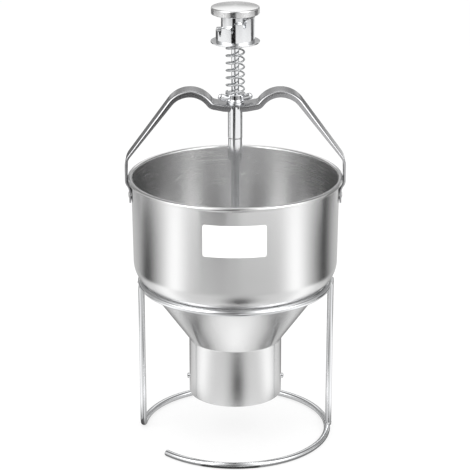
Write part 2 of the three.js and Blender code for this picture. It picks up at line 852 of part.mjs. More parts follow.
// Finishes.
const brushed = () => new THREE.MeshStandardMaterial({ color: 0xc4c5c6, metalness: 1, roughness: 0.32 });
const chrome = () => new THREE.MeshStandardMaterial({ color: 0xd8dadc, metalness: 1, roughness: 0.08 });
const satin = () => new THREE.MeshStandardMaterial({ color: 0xd2d2d0, metalness: 1, roughness: 0.4 });

const group = new THREE.Group();
const sideName = (side) => (side < 0 ? "left" : "right");

function add(name, geometry, material) {
  const mesh = new THREE.Mesh(geometry, material);
  mesh.name = name;
  group.add(mesh);
}

add("stand_top_ring", standTopRing(), chrome());
add("stand_base_wire", standBaseWire(), chrome());
add("stand_leg_right", standLegRight(), chrome());
add("hopper_shell", hopperShell(), brushed());
add("nozzle", nozzleTube(), brushed());
add("dosing_insert", dosingInsert(), brushed());
for (const side of [-1, 1]) {
  add(`nozzle_screw_${sideName(side)}`, nozzleScrew(side), chrome());
  add(`nozzle_nut_${sideName(side)}`, nozzleNut(side), chrome());
}
add("handle_bracket", handleBracket(), brushed());
for (const place of rivetPlaces())
  add(`handle_rivet_${sideName(place.side)}_${place.y < 0 ? "front" : "back"}`, rivet(place), satin());
add("guide_tube", guideTube(), chrome());
add("clamp_washer", clampWasher(), chrome());
add("wing_nut", wingNut(), chrome());
add("spring_seat", springSeat(), chrome());
add("return_spring", returnSpring(), chrome());
add("plunger_rod", plungerRod(), chrome());
add("stop_collar", stopCollar(), chrome());
add("collar_screw", collarScrew(), satin());
add("piston_disc", pistonDisc(), brushed());
add("spool_spacer", spoolSpacer(), brushed());
add("cutter_disc", cutterDisc(), brushed());
add("end_nut", endNut(), chrome());
add("level_pin", levelPin(), chrome());
add("knob_sleeve", knobSleeve(), chrome());
add("push_knob", pushKnob(), satin());
add("thrust_washer", thrustWasher(), chrome());
add("level_cup", levelCup(), chrome());

export default group;
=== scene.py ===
"""Looks of a hand held batter dispenser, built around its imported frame.

The origin is on the floor under the hopper's axis, +Z is up and the front faces -Y. Shapes are
worked out with numpy in millimetres and written to the meshes in metres. Each piece is one or more
closed shells: a grid of stations by section points, or an outline turned round an axis.
"""

import json
import math

import bpy
import numpy as np
from mathutils import Matrix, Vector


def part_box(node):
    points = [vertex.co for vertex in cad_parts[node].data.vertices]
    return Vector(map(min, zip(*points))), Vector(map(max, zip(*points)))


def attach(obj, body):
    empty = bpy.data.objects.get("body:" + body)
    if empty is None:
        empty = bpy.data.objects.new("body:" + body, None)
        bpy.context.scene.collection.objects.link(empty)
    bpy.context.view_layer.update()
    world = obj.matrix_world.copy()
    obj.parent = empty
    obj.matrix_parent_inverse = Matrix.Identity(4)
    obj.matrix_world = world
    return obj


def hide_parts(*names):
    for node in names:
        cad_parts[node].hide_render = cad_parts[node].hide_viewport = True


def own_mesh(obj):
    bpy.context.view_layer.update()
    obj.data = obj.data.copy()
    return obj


bl_info = {
    "name": "Batter Dispenser",
    "version": (1, 0, 0),
    "blender": (4, 5, 0),
    "location": "3D Viewport > Sidebar > Dispenser",
    "description": "Builds a stainless steel batter dispenser, its wire stand and a small studio",
    "category": "Add Mesh",
}

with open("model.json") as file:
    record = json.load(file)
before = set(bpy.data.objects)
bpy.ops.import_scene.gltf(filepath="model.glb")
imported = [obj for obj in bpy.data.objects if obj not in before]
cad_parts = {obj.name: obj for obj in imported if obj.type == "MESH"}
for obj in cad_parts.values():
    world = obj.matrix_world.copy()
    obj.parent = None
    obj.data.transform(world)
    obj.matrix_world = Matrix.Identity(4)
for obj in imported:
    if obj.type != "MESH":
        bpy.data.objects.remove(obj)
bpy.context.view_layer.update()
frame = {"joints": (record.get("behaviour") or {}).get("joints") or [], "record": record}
BODY_OF = {node: body for body, nodes in frame["record"]["behaviour"]["bodies"].items()
           for node in nodes}

MM = 0.001
IMAGE_SIDE = 470
WHITE = (1, 1, 1, 1)

# Fixed measures in millimetres: the hopper's wall above its lower corner and how much wider it is
# at the top, the strap's tabs and the joggle above them, and the bores of what sits on the guide
# tube's neck, on the rod and on the rod's lower end.
WALL_HEIGHT, WALL_FLARE = 79.3, 0.9
TAB_INSIDE, JOGGLE_TOP, JOGGLE_LOW = 96.9, 252.4, 246.8
NECK_BORE, ROD_BORE, SPOOL_BORE = 5.3, 3.9, 2.8

# Fine marks on a surface: how quickly they change along X, Y and Z, and their depth in metres.
POLISHED = (1400, 1400, 1400)
BRUSHED_ROUND = (14, 14, 3600)
BRUSHED_ALONG = (22, 1500, 22)
PEEL = (900, 900, 900)
POLISH_DEPTH = 0.000004


def corners(node):
    """Lowest and highest corner of a frame node, in millimetres."""
    low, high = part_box(node)
    return np.array(low) / MM, np.array(high) / MM


def span(node):
    """Lowest height, highest height and half width of a frame node, in millimetres."""
    low, high = corners(node)
    return low[2], high[2], high[0]


# Settings

def length(name, description, millimetres):
    return bpy.props.FloatProperty(
        name=name, description=description, default=millimetres * MM, min=0, unit="LENGTH")


def degrees(name, description, value):
    return bpy.props.FloatProperty(
        name=name, description=description, default=math.radians(value), subtype="ANGLE")


def share(name, description, value):
    return bpy.props.FloatProperty(name=name, description=description, default=value, min=0, max=1)


def colour(name, description, value):
    return bpy.props.FloatVectorProperty(
        name=name, description=description, default=value, subtype="COLOR", size=3, min=0, max=1)


class StandSettings(bpy.types.PropertyGroup):
    wire: length("Wire radius", "Half the thickness of the stand's wire", 3)
    ring: length("Ring radius", "Axis of both rings from the middle", 89)
    gap: degrees("Ring gap", "Angle of the base ring that is left open", 43.5)
    bend: length("Foot bend", "Radius of the bend from the left leg into the base ring", 9)
    outset: length("Leg outset", "How far the right leg stands outside the rings", 1.2)


class HopperSettings(bpy.types.PropertyGroup):
    rim: length("Rim radius", "Outer radius of the rolled rim", 100)
    bead: length("Bead radius", "Radius of the roll of the rim", 2.2)
    wall: length("Wall radius", "Outer radius of the wall above the lower corner", 95.7)
    sheet: length("Sheet", "Thickness of the sheet", 1)
    corner: length("Corner radius", "Radius of the lower corner", 26)
    plate_width: length("Plate width", "Width of the bare plate on the front", 58)
    plate_height: length("Plate height", "Height of the bare plate on the front", 30)


class HandleSettings(bpy.types.PropertyGroup):
    width: length("Strap width", "Width of the strap over its lips", 20.8)
    sheet: length("Strap sheet", "Thickness of the strap", 1.4)
    lip: length("Lip height", "Height of the lips near the middle", 5.7)
    crown: length("Crown radius", "Radius of the top of each arch", 25)
    slope: degrees("Slope", "Fall of the straight arms", 54)
    notch: length("Notch", "Width of the gap in the lips at the middle", 7.4)


class PlungerSettings(bpy.types.PropertyGroup):
    cap: length("Cap radius", "Radius of the push knob", 22)
    spring: length("Spring radius", "Radius of the spring's wire axis", 8.1)
    spring_wire: length("Spring wire", "Radius of the spring's wire", 0.85)
    cup: length("Cup radius", "Outer radius of the stepped cup", 17.7)
    first_riser: degrees("First riser", "Angle of the lowest riser, counted from the front", -45)
    lowest: degrees("Lowest step", "Angle of the lowest step", 105)
    tread: degrees("Tread", "Angle from one riser to the next", 40)
    rise: length("Rise", "Height from one step of the cup to the next", 4.1)
    slot_width: length("Slot width", "Width of the slot before each riser", 3)
    slot_depth: length("Slot depth", "Depth of the slot before each riser", 4.1)
    slot_land: length("Slot land", "Wall between a slot and its riser", 0.5)
    pin: length("Pin radius", "Radius of the level pin", 1.3)
    pin_turn: degrees("Pin angle", "Direction of the level pin, counted from the front", -78.1)


class FinishSettings(bpy.types.PropertyGroup):
    chrome: colour("Chrome", "Colour of the polished parts", (0.93, 0.935, 0.94))
    steel: colour("Steel", "Colour of the brushed sheet", (0.84, 0.84, 0.84))
    strap: colour("Strap", "Colour of the strap handle", (0.54, 0.54, 0.55))
    satin: colour("Satin", "Colour of the push knob", (0.88, 0.88, 0.88))
    plate: colour("Plate", "Colour of the bare plate", (0.93, 0.93, 0.92))
    chrome_roughness: share("Chrome roughness", "Roughness of the polished parts", 0.06)
    steel_roughness: share("Steel roughness", "Roughness of the brushed sheet", 0.2)
    bowl_coarser: share("Bowl's inside", "Added roughness of the bowl's inner wall", 0.06)
    satin_roughness: share("Satin roughness", "Roughness of the push knob", 0.22)


class StudioSettings(bpy.types.PropertyGroup):
    floor: colour("Floor", "Colour of the floor", (0.93, 0.93, 0.93))
    lift: share("Floor lift", "Share of the floor's light that needs no lamp", 0.75)
    lamps: bpy.props.FloatProperty(
        name="Lamps", description="Power of each soft lamp", default=9, min=0, unit="POWER")
    fill: share("Fill", "Strength of the plain white light from all round", 1.0)


GROUPS = {
    "dispenser_stand": StandSettings,
    "dispenser_hopper": HopperSettings,
    "dispenser_handle": HandleSettings,
    "dispenser_plunger": PlungerSettings,
    "dispenser_finish": FinishSettings,
    "dispenser_studio": StudioSettings,
}


def sizes(context, group):
    """The lengths of a settings group in millimetres and its angles in degrees, as a namespace."""
    settings = getattr(context.scene, group)
    values = {}
    for prop in settings.bl_rna.properties:
        if prop.type == "FLOAT" and not prop.is_array:
            scale = {"LENGTH": 1 / MM, "ROTATION": 180 / math.pi}.get(prop.unit, 1)
            values[prop.identifier] = round(getattr(settings, prop.identifier) * scale, 4)
    return type("Sizes", (), values)


# Shapes

def circle(count):
    """Even angles once round."""
    return np.linspace(0, 2 * math.pi, count, endpoint=False)


def round_axis(reach, turn, height):
    """Points round Z: the distance times cosine and sine of the angle, then the height."""
    return np.stack(np.broadcast_arrays(reach * np.cos(turn), reach * np.sin(turn), height), -1)


def from_front(reach, turn, height):
    """The same with angles that start at the front and run to the right."""
    return round_axis(reach, turn - math.pi / 2, height)


def unit(rows):
    """Each row divided by its length."""
    return rows / np.linalg.norm(rows, axis=-1, keepdims=True)


def travelled(path):
    """The length of a path up to each of its points."""
    return np.append(0, np.cumsum(np.linalg.norm(np.diff(path, axis=0), axis=1)))


def shortfall(near, radius):
    """What a quarter circle takes off a rounded end, at a distance from that end."""
    return radius - np.sqrt(radius ** 2 - (radius - np.clip(near, 0, radius)) ** 2)


def ramp(value, width):
    """From 0 to 1, straight over the width round zero."""
    return np.clip(value / width + 0.5, 0, 1)


def arc(centre, radius, start, end, steps):
    """Points on a circle: the centre plus the radius times the cosine and sine of even angles."""
    turn = np.radians(np.linspace(start, end, steps + 1))
    return np.column_stack((centre[0] + radius * np.cos(turn), centre[1] + radius * np.sin(turn)))


def softened(outline, radius, closed=True, steps=4):
    """Rounds each corner P of an outline by the curve (1-t)^2 A + 2t(1-t) P + t^2 B.

    A and B lie on the two sides, back from P by the radius or 45% of the shorter side.
    """
    outline = np.asarray(outline, float)
    sides = [np.roll(outline, shift, 0) - outline for shift in (1, -1)]
    shorter = np.minimum(*(np.linalg.norm(side, axis=1, keepdims=True) for side in sides))
    start, end = (outline + unit(side) * np.minimum(radius, 0.45 * shorter) for side in sides)
    t = np.linspace(0, 1, steps + 1)[:, None, None]
    rows = ((1 - t) ** 2 * start + 2 * t * (1 - t) * outline + t ** 2 * end).transpose(1, 0, 2)
    if closed:
        return rows.reshape(-1, 2)
    return np.vstack((outline[:1], rows[1:-1].reshape(-1, 2), outline[-1:]))


def turned(outline, segments=96, radius=0.0, closed=True):
    """A shell of revolution about Z, its corners rounded by the radius.

    A closed outline is a ring. An open one is a solid whose two ends are flat faces.
    """
    outline = np.asarray(outline, float)
    if radius:
        outline = softened(outline, radius, closed)
    return round_axis(outline[:, :1], circle(segments), outline[:, 1:]), closed


def bar(outline, segments, soft=0.0, core=0.3):
    """A turned solid: the outline runs on at both ends to small flat faces on the axis."""
    (_, low), (_, high) = outline[0], outline[-1]
    return turned([(core, low), *outline, (core, high)], segments, soft, closed=False)


def tube(path, outward, radii, sides=20, closed=False, flat=1.0):
    """A round bar: each station is the path plus the radius times cosine outward and sine aside.

    Aside is square to the path's direction and to outward. The sine is times flat, which makes
    the section an ellipse.
    """
    along = np.roll(path, -1, 0) - np.roll(path, 1, 0) if closed else np.gradient(path, axis=0)
    along = unit(along - outward * (along * outward).sum(1, keepdims=True))
    aside = flat * np.cross(along, outward)[:, None]
    turn = circle(sides)[None, :, None]
    reach = np.broadcast_to(radii, len(path))[:, None, None]
    return path[:, None] + reach * (np.cos(turn) * outward[:, None] + np.sin(turn) * aside), closed


def on_cylinder(turn, height, radius):
    """Points on an upright cylinder and their outward directions, from angles and heights."""
    return round_axis(radius, turn, height), round_axis(1.0, turn, 0.0)


def end_taper(path, radius, soft=0.5):
    """The radius along a bar, less a quarter circle within soft of each end."""
    gone = travelled(path)
    return radius - shortfall(np.minimum(gone, gone[-1] - gone), soft)


def head(radius, height, recess, segments=96):
    """The top of a screw: a low dome over a straight side, sunk where recess says.

    The height at distance r is height (1 - 0.35 (r / radius)^2), less the recess's depth.
    """
    share_out = np.concatenate(([1, 1], np.linspace(0.97, 0.02, 40)))[:, None]
    reach, turn = radius * share_out, circle(segments)
    top = height * (1 - 0.35 * share_out ** 2) - recess(reach * np.cos(turn), reach * np.sin(turn))
    top[0] = -0.05
    return round_axis(reach, turn, top), False


def slot_recess(half_width, depth, edge=0.12):
    """A straight slot along X."""
    return lambda x, y: depth * ramp(half_width - np.abs(y), edge)


def hex_recess(across, depth, edge=0.12):
    """Inside a hexagon: the largest of the distances along three directions 60 degrees apart."""
    turns = np.radians([0, 60, 120])[:, None, None]
    return lambda x, y: depth * ramp(
        across / 2 - np.abs(x * np.cos(turns) + y * np.sin(turns)).max(0), edge)


def hexagon_nut(bore, radius, low, high, segments=96):
    """A nut: the outer radius is the apothem over the cosine of the angle off the flat's middle."""
    turn = circle(segments)
    apothem = radius * math.cos(math.pi / 6)
    hexagon = apothem / np.cos((turn + math.pi / 6) % (math.pi / 3) - math.pi / 6)
    slope = 0.1 + np.maximum(hexagon - apothem - 0.1, 0) * 0.6
    rows = [(bore, low), (apothem - 0.2, low), (hexagon, low + slope),
            (hexagon, high - slope), (apothem - 0.2, high), (bore, high)]
    reach, height = (np.stack([np.broadcast_to(row[k], segments) for row in rows]) for k in (0, 1))
    return round_axis(reach, turn, height), True


def blob(centre, radii, waves=0.06):
    """A weld bead: an ellipsoid whose radius varies by a few slow waves."""
    up, turn = np.radians(np.linspace(-88, 88, 17))[:, None], circle(32)
    swell = 1 + waves * np.sin(3 * turn + 4 * up) * np.cos(up)
    return round_axis(np.cos(up), turn, np.sin(up)) * swell[..., None] * radii + centre, False


def at(place=(0, 0, 0), axis="Z", turn=0.0):
    """The matrix that turns by degrees about an axis and then moves to a place."""
    return Matrix.Translation(place) @ Matrix.Rotation(math.radians(turn), 4, axis)


def placed(shell, matrix):
    """The shell moved by a 4 by 4 matrix."""
    grid, closed = shell
    matrix = np.array(matrix)
    return grid @ matrix[:3, :3].T + matrix[:3, 3], closed


# Meshes and pieces

def shell_faces(shell, first=0):
    """Points of a shell, its four sided faces and its flat ends, with all faces outwards.

    Six times the volume is the sum of a.(b x c) over the triangles; a negative one is turned.
    """
    grid, closed = shell
    points = grid.reshape(-1, 3)
    index = np.arange(len(points)).reshape(grid.shape[:2])
    ahead = np.roll(index, -1, 0)
    quads = np.stack((index, ahead, np.roll(ahead, -1, 1), np.roll(index, -1, 1)), -1)
    quads = (quads if closed else quads[:-1]).reshape(-1, 4)
    ends = [] if closed else [index[0], index[-1, ::-1]]
    centred = points - points.mean(0)
    a, b, c, d = centred[quads.T]
    volume = (np.cross(a, b) * c).sum() + (np.cross(a, c) * d).sum()
    for end in ends:
        p = centred[end]
        volume += (np.cross(p, np.roll(p, -1, 0)) * p[:1]).sum()
    if volume < 0:
        quads, ends = quads[:, ::-1], [end[::-1] for end in ends]
    return points, (quads + first).tolist() + [(end + first).tolist() for end in ends]


def in_scene(name, data):
    """A new object of a mesh, lamp or camera, linked to the scene."""
    made = bpy.data.objects.new(name, data)
    bpy.context.scene.collection.objects.link(made)
    return made


def mesh_in_scene(name, points, faces, material):
    """A new mesh object. Its points are in metres."""
    mesh = bpy.data.meshes.new(name)
    mesh.from_pydata(points.tolist(), [], faces)
    mesh.materials.append(material)
    return in_scene(name, mesh)


def piece(name, shells, body, look, slot=None, replaces=(), sharp=40):
    """One object from its shells: smooth faces, sharp edges past an angle, even shading."""
    points, faces = [], []
    count = 0
    for shell in shells:
        shell_points, shell_quads = shell_faces(shell, count)
        points.append(shell_points)
        faces += shell_quads
        count += len(shell_points)
    made = mesh_in_scene(name, np.vstack(points) * MM, faces, finish(look))
    made.data.polygons.foreach_set("use_smooth", np.ones(len(faces), bool))
    made.data.set_sharp_from_angle(angle=math.radians(sharp))
    made.modifiers.new("Even shading", "WEIGHTED_NORMAL").keep_sharp = True
    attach(made, body)
    slot = slot or SLOTS.get(look)
    if replaces:
        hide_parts(*replaces)
    return made


def stand_in(node, shells, look="polished_chrome", slot=None, sharp=40):
    """A finer piece in the place of one frame node, on the same body."""
    return piece(node + "_fine", shells, BODY_OF[node], look, slot, (node,), sharp)


def ring_in(node, bore, soft, look="polished_chrome", segments=96):
    """A plain ring in the place of one frame node, as wide and as high as it is."""
    low, high, radius = span(node)
    outline = [(bore, low), (radius, low), (radius, high), (bore, high)]
    stand_in(node, [turned(outline, segments, soft)], look)


# Finishes

class Signal:
    """A number inside a node tree. Arithmetic on it adds a Math node."""

    def __init__(self, graph, socket):
        self.graph = graph
        self.socket = socket

    def math(self, operation, *operands):
        return self.graph.add("ShaderNodeMath", {"operation": operation}, dict(enumerate(operands)))

    def __add__(self, other):
        return self.math("ADD", self, other)

    def __sub__(self, other):
        return self.math("SUBTRACT", self, other)

    def __rsub__(self, other):
        return self.math("SUBTRACT", other, self)

    def __mul__(self, other):
        return self.math("MULTIPLY", self, other)

    __radd__ = __add__
    __rmul__ = __mul__

    def root(self):
        return self.math("SQRT", self)

    def over(self, limit, width):
        """0 below the limit, 1 past the limit plus the width, straight between them."""
        return self.graph.add("ShaderNodeMapRange", {"clamp": True},
                              {0: self, 1: limit, 2: limit + width})


class Graph:
    """A node tree that is filled by add()."""

    def __init__(self, tree):
        self.tree = tree
        tree.nodes.clear()

    def add(self, kind, settings=None, inputs=None, output=0):
        """Makes a node, applies its settings, then sets or links its inputs."""
        node = self.tree.nodes.new(kind)
        for key, value in (settings or {}).items():
            setattr(node, key, value)
        for key, value in (inputs or {}).items():
            if isinstance(value, Signal):
                self.tree.links.new(value.socket, node.inputs[key])
            else:
                node.inputs[key].default_value = value
        return Signal(self, node.outputs[output]) if node.outputs else None

    def place(self):
        """Object coordinates as three numbers."""
        where = self.add("ShaderNodeTexCoord", output=3)
        return [self.add("ShaderNodeSeparateXYZ", inputs={0: where}, output=k) for k in range(3)]

    def noise(self, x, y, z, detail=2.0):
        vector = self.add("ShaderNodeCombineXYZ", inputs={0: x, 1: y, 2: z})
        return self.add("ShaderNodeTexNoise", inputs={
            "Vector": vector, "Scale": 1.0, "Detail": detail})

    def blend(self, factor, first, second):
        return self.add("ShaderNodeMix", {"data_type": "RGBA"},
                        {0: factor, 6: (*first, 1), 7: (*second, 1)}, output=2)


def shaded(block, shader_of, kind="Material"):
    """A new material or world, its graph filled with the shader that a function makes in it."""
    block.use_nodes = True
    graph = Graph(block.node_tree)
    graph.add("ShaderNodeOutput" + kind, inputs={0: shader_of(graph)})
    return block


def bowl_inside(x, y, z):
    """1 on the bowl's inner wall, which is nearer the axis than the middle of its sheet."""
    s = sizes(bpy.context, "dispenser_hopper")
    radius = (x * x + y * y).root() * (1 / MM)
    middle = wall_radius(s, z * (1 / MM)) - s.sheet / 2
    return (middle - radius).over(0, 0.2) * z.over(0.15, 0.03)


def marked(name, base, roughness, marks, streaks=0.05, smudges=0.05, rubs=0.015, depth=0.00001,
           strength=0.35, anisotropic=0.0, tone=0.05, metallic=1.0, bowl_coarser=0.0):
    """A material with fine marks, which vary its colour by the tone, its roughness and surface.

    The roughness is also varied by the marks times streaks, by soft smudges and by rubbing marks
    round the axis, and a bowl may be coarser inside. Marks round the axis change along the height
    plus the radius.
    """
    def shader(graph):
        x, y, z = graph.place()
        along = z + (x * x + y * y).root() if marks == BRUSHED_ROUND else z
        grain = graph.noise(x * marks[0], y * marks[1], along * marks[2])
        smudge = graph.noise(x * 26, y * 26, z * 26, 3.0)
        scuff = graph.noise(x * 110, y * 110, z * 1500, 1.0).over(0.66, 0.1)
        rough = (grain - 0.5) * streaks + (smudge - 0.5) * smudges + scuff * rubs + roughness
        if bowl_coarser:
            rough = bowl_inside(x, y, z) * bowl_coarser + rough
        return graph.add("ShaderNodeBsdfPrincipled", inputs={
            "Base Color": graph.blend(grain, [c * (1 - tone) for c in base], base),
            "Metallic": metallic,
            "Roughness": rough,
            "Anisotropic": anisotropic,
            "Anisotropic Rotation": 0.25,
            "Normal": graph.add("ShaderNodeBump", inputs={
                "Strength": strength, "Distance": depth, "Height": grain}),
        })
    return shaded(bpy.data.materials.new(name), shader)


# The frame's slot of each finish. The bare plate has none.
SLOTS = {
    "polished_chrome": "polished_chrome",
    "weld_bead": "polished_chrome",
    "turned_steel": "brushed_stainless",
    "bowl_steel": "brushed_stainless",
    "strap_steel": "brushed_stainless",
    "satin_knob": "satin_steel",
    "spring_wire": "spring_wire",
}


def finish(name):
    """The finished material of that name, made when it is first asked for."""
    if name in bpy.data.materials:
        return bpy.data.materials[name]
    look = bpy.context.scene.dispenser_finish
    steel = dict(base=look.steel, roughness=look.steel_roughness, marks=BRUSHED_ROUND,
                 anisotropic=0.7)
    return marked(name, **{
        "polished_chrome": dict(base=look.chrome, roughness=look.chrome_roughness, marks=POLISHED,
                                streaks=0.02, smudges=0.03, depth=POLISH_DEPTH, tone=0.02),
        "turned_steel": steel,
        "bowl_steel": dict(steel, bowl_coarser=look.bowl_coarser),
        "strap_steel": dict(base=look.strap, roughness=look.steel_roughness, marks=BRUSHED_ALONG,
                            depth=POLISH_DEPTH, tone=0.08),
        "satin_knob": dict(base=look.satin, roughness=look.satin_roughness, marks=BRUSHED_ROUND,
                           streaks=0.06, smudges=0.03, depth=0.000008, anisotropic=0.5),
        "spring_wire": dict(base=[c * 0.9 for c in look.chrome], roughness=0.09, marks=POLISHED,
                            streaks=0.04, smudges=0.04, depth=POLISH_DEPTH),
        "weld_bead": dict(base=[c * 0.82 for c in look.chrome], roughness=0.24, marks=POLISHED,
                          streaks=0.1, smudges=0.08, depth=0.00003),
        "bare_plate": dict(base=look.plate, roughness=0.3, marks=PEEL, streaks=0.1, smudges=0.0,
                           rubs=0.0, depth=0.00002, strength=0.2, tone=0.015, metallic=0.0),
    }[name])


# Parts

class Part:
    """Base of the operators that build one piece or group of like pieces from their settings."""
    bl_options = {"REGISTER", "UNDO"}
    group = "dispenser_plunger"

    def execute(self, context):
        self.build(sizes(context, self.group))
        return {"FINISHED"}


class DISPENSER_OT_stand(Part, bpy.types.Operator):
    """Builds the stand: two wire rings, two legs and their weld beads"""
    bl_idname = "dispenser.stand"
    bl_label = "Stand"
    group = "dispenser_stand"

    def build(self, s):
        ring_low, ring_high, _ = span("stand_top_ring")
        ring_z = (ring_low + ring_high) / 2
        path, outward = on_cylinder(circle(180), ring_z, s.ring)
        stand_in("stand_top_ring", [tube(path, outward, s.wire, closed=True)])

        # The left leg, its bend and the base ring all lie on one cylinder. The ring's underside
        # is cut flat at the floor.
        base_z = s.wire - 0.2
        leg = np.linspace(ring_z - s.wire + 0.6, base_z + s.bend, 16)[:-1]
        bend = arc((s.bend, base_z + s.bend), s.bend, 180, 270, 12)
        end = math.radians(s.gap) - math.pi
        base = np.append(np.linspace(math.pi - s.bend / s.ring, end, 170)[1:-1],
                         end + np.array([0.012, 0.006, 0.003, 0.001, 0]))
        turn = np.concatenate((np.full(len(leg), math.pi), math.pi - bend[:, 0] / s.ring, base))
        height = np.concatenate((leg, bend[:, 1], np.full(len(base), base_z)))
        path, outward = on_cylinder(turn, height, s.ring)
        grid, closed = tube(path, outward, end_taper(path, s.wire))
        grid[..., 2] = np.maximum(grid[..., 2], 0)
        stand_in("stand_base_wire", [(grid, closed)])

        # The right leg is straight, with a few close stations where its ends are rounded.
        low, high, close = base_z + 1, ring_z + 1.5, np.array([0, 0.03, 0.1, 0.25, 0.5])
        height = np.unique(np.concatenate((np.linspace(low, high, 12), low + close, high - close)))
        path, outward = on_cylinder(np.zeros_like(height), height, s.ring + s.outset)
        stand_in("stand_leg_right", [tube(path, outward, end_taper(path, s.wire))])

        right, under = s.ring + s.outset / 2, ring_z - s.wire
        for place, x, z, half_width in (("left_top", -s.ring, under, 3.5),
                                        ("right_top", right, under, 3.8),
                                        ("right_foot", right, 2 * s.wire, 3.8)):
            bead = blob((x, 0, z), (half_width, 4.3, 1.5))
            piece("weld_" + place, [bead], "stand", "weld_bead")


def corner_z(s):
    """Height of the middle of the hopper's lower corner."""
    return span("hopper_shell")[1] - s.bead - WALL_HEIGHT


def wall_radius(s, z):
    """Outer radius of the hopper's wall at a height: it widens evenly from the lower corner up."""
    return (z - corner_z(s)) * (WALL_FLARE / WALL_HEIGHT) + s.wall


def hopper_outline(s, foot, nozzle_radius):
    """Up the outside, round the rolled rim and back down the inside to the spigot."""
    corner = np.array((s.wall - s.corner, corner_z(s)))
    outer = arc(corner, s.corner, -52, 0, 28)
    inner = arc(corner, s.corner - s.sheet, 0, -52, 28)
    cone_foot = np.array((nozzle_radius, foot))
    slope = unit(outer[0] - cone_foot)
    inner_foot = cone_foot + np.array((-slope[1], slope[0])) * s.sheet
    bead = (s.rim - s.bead, corner[1] + WALL_HEIGHT)
    curl = 180 + math.degrees(math.acos((s.bead - s.sheet) / s.bead))
    spigot = nozzle_radius - s.sheet - 0.3
    run = (inner[-1] - inner_foot) / (inner[-1] - inner_foot)[1]
    throat = inner_foot + run * ((spigot - s.sheet - inner_foot[0]) / run[0])
    return np.vstack((
        [(spigot - s.sheet, foot - 6), (spigot, foot - 6), (spigot, foot), cone_foot],
        outer, arc(bead, s.bead, curl - 360, 180, 36), inner, throat))


class DISPENSER_OT_hopper(Part, bpy.types.Operator):
    """Builds the spun hopper with its rolled rim, and the nozzle under it"""
    bl_idname = "dispenser.hopper"
    bl_label = "Hopper and nozzle"
    group = "dispenser_hopper"

    def build(self, s):
        _, nozzle_high, radius = span("nozzle")
        outline = hopper_outline(s, nozzle_high + 0.1, radius)
        stand_in("hopper_shell", [turned(outline, 256)], "bowl_steel", sharp=60)
        ring_in("nozzle", radius - s.sheet, 0.25, "turned_steel", 192)


class DISPENSER_OT_plate(Part, bpy.types.Operator):
    """Builds the bare plate on the front of the hopper"""
    bl_idname = "dispenser.plate"
    bl_label = "Plate"
    group = "dispenser_hopper"

    def build(self, s):
        half_x, half_z, corner, thick, edge = s.plate_width / 2, s.plate_height / 2, 2.0, 0.4, 0.15
        middle_x, middle_z = -0.7, 225.4
        # Stations from left to right, shorter near both ends so that the corners are round.
        to_end = np.array([0, 0.02, 0.1, 0.25, 0.5, 0.9, 1.4, corner])
        between = np.linspace(corner - half_x, half_x - corner, 40)[1:-1]
        x = np.concatenate((to_end - half_x, between, half_x - to_end[::-1]))[:, None]
        inside = half_x - np.abs(x)
        tall = half_z - shortfall(inside, corner)
        thin = np.clip(inside / edge, 0.3, 1)
        back, side, face = np.full_like(x, -0.05), (thick - edge) * thin, thick * thin
        # Up the front face, then down the back one with the same heights, so that the curved
        # wall never shows through.
        rise = np.linspace(-1, 1, 13)[1:-1]
        up = rise * (tall - edge)
        z = middle_z + np.hstack((-tall, -tall, edge - tall, up, tall - edge, tall, tall,
                                  up[:, ::-1]))
        lift = np.hstack((back, side, *[face] * (len(rise) + 2), side, *[back] * (len(rise) + 1)))
        wall = wall_radius(s, z) + 0.06
        grid = from_front(wall + lift, (x + middle_x) / wall, z)
        piece("bare_plate", [(grid, False)], "hopper", "bare_plate")


def sideways(node):
    """How far a node's two ends are from the axis, and the matrix that lays Z along its side."""
    low, high = corners(node)
    near, far = sorted((abs(low[0]), abs(high[0])))
    middle = (low + high) / 2
    return near, far, at((0, middle[1], middle[2]), "Y", math.copysign(90, middle[0]))


class DISPENSER_OT_fasteners(Part, bpy.types.Operator):
    """Builds the nozzle's screws and nuts and the rivets of the handle"""
    bl_idname = "dispenser.fasteners"
    bl_label = "Screws and rivets"

    def build(self, s):
        seat = span("nozzle")[2] + 0.3
        for side in ("left", "right"):
            near, far, to_side = sideways("nozzle_screw_" + side)
            shank = bar([(1.1, near), (1.5, near + 0.5), (1.5, seat + 0.4)], 32)
            top = placed(head(2.5, far - seat, slot_recess(0.4, 0.9)), at((0, 0, seat)))
            stand_in("nozzle_screw_" + side, [placed(shank, to_side), placed(top, to_side)])
            near, far, to_side = sideways("nozzle_nut_" + side)
            nut = placed(hexagon_nut(1.8, 3.1, near, far), to_side)
            stand_in("nozzle_nut_" + side, [nut])
        for place in ("left_front", "left_back", "right_front", "right_back"):
            near, far, to_side = sideways("handle_rivet_" + place)
            face = far - 1
            outline = [(0.2, near), (1.6, near), (2.7, near + 0.3), (3, near + 0.7), (3, near + 1),
                       (1.6, near + 1), (1.6, face), (3, face), (3, face + 0.25),
                       (2.5, face + 0.7), (1.3, face + 0.96), (0.2, far)]
            rivet = placed(turned(outline, 40, 0.2, closed=False), to_side)
            stand_in("handle_rivet_" + place, [rivet], "satin_knob")


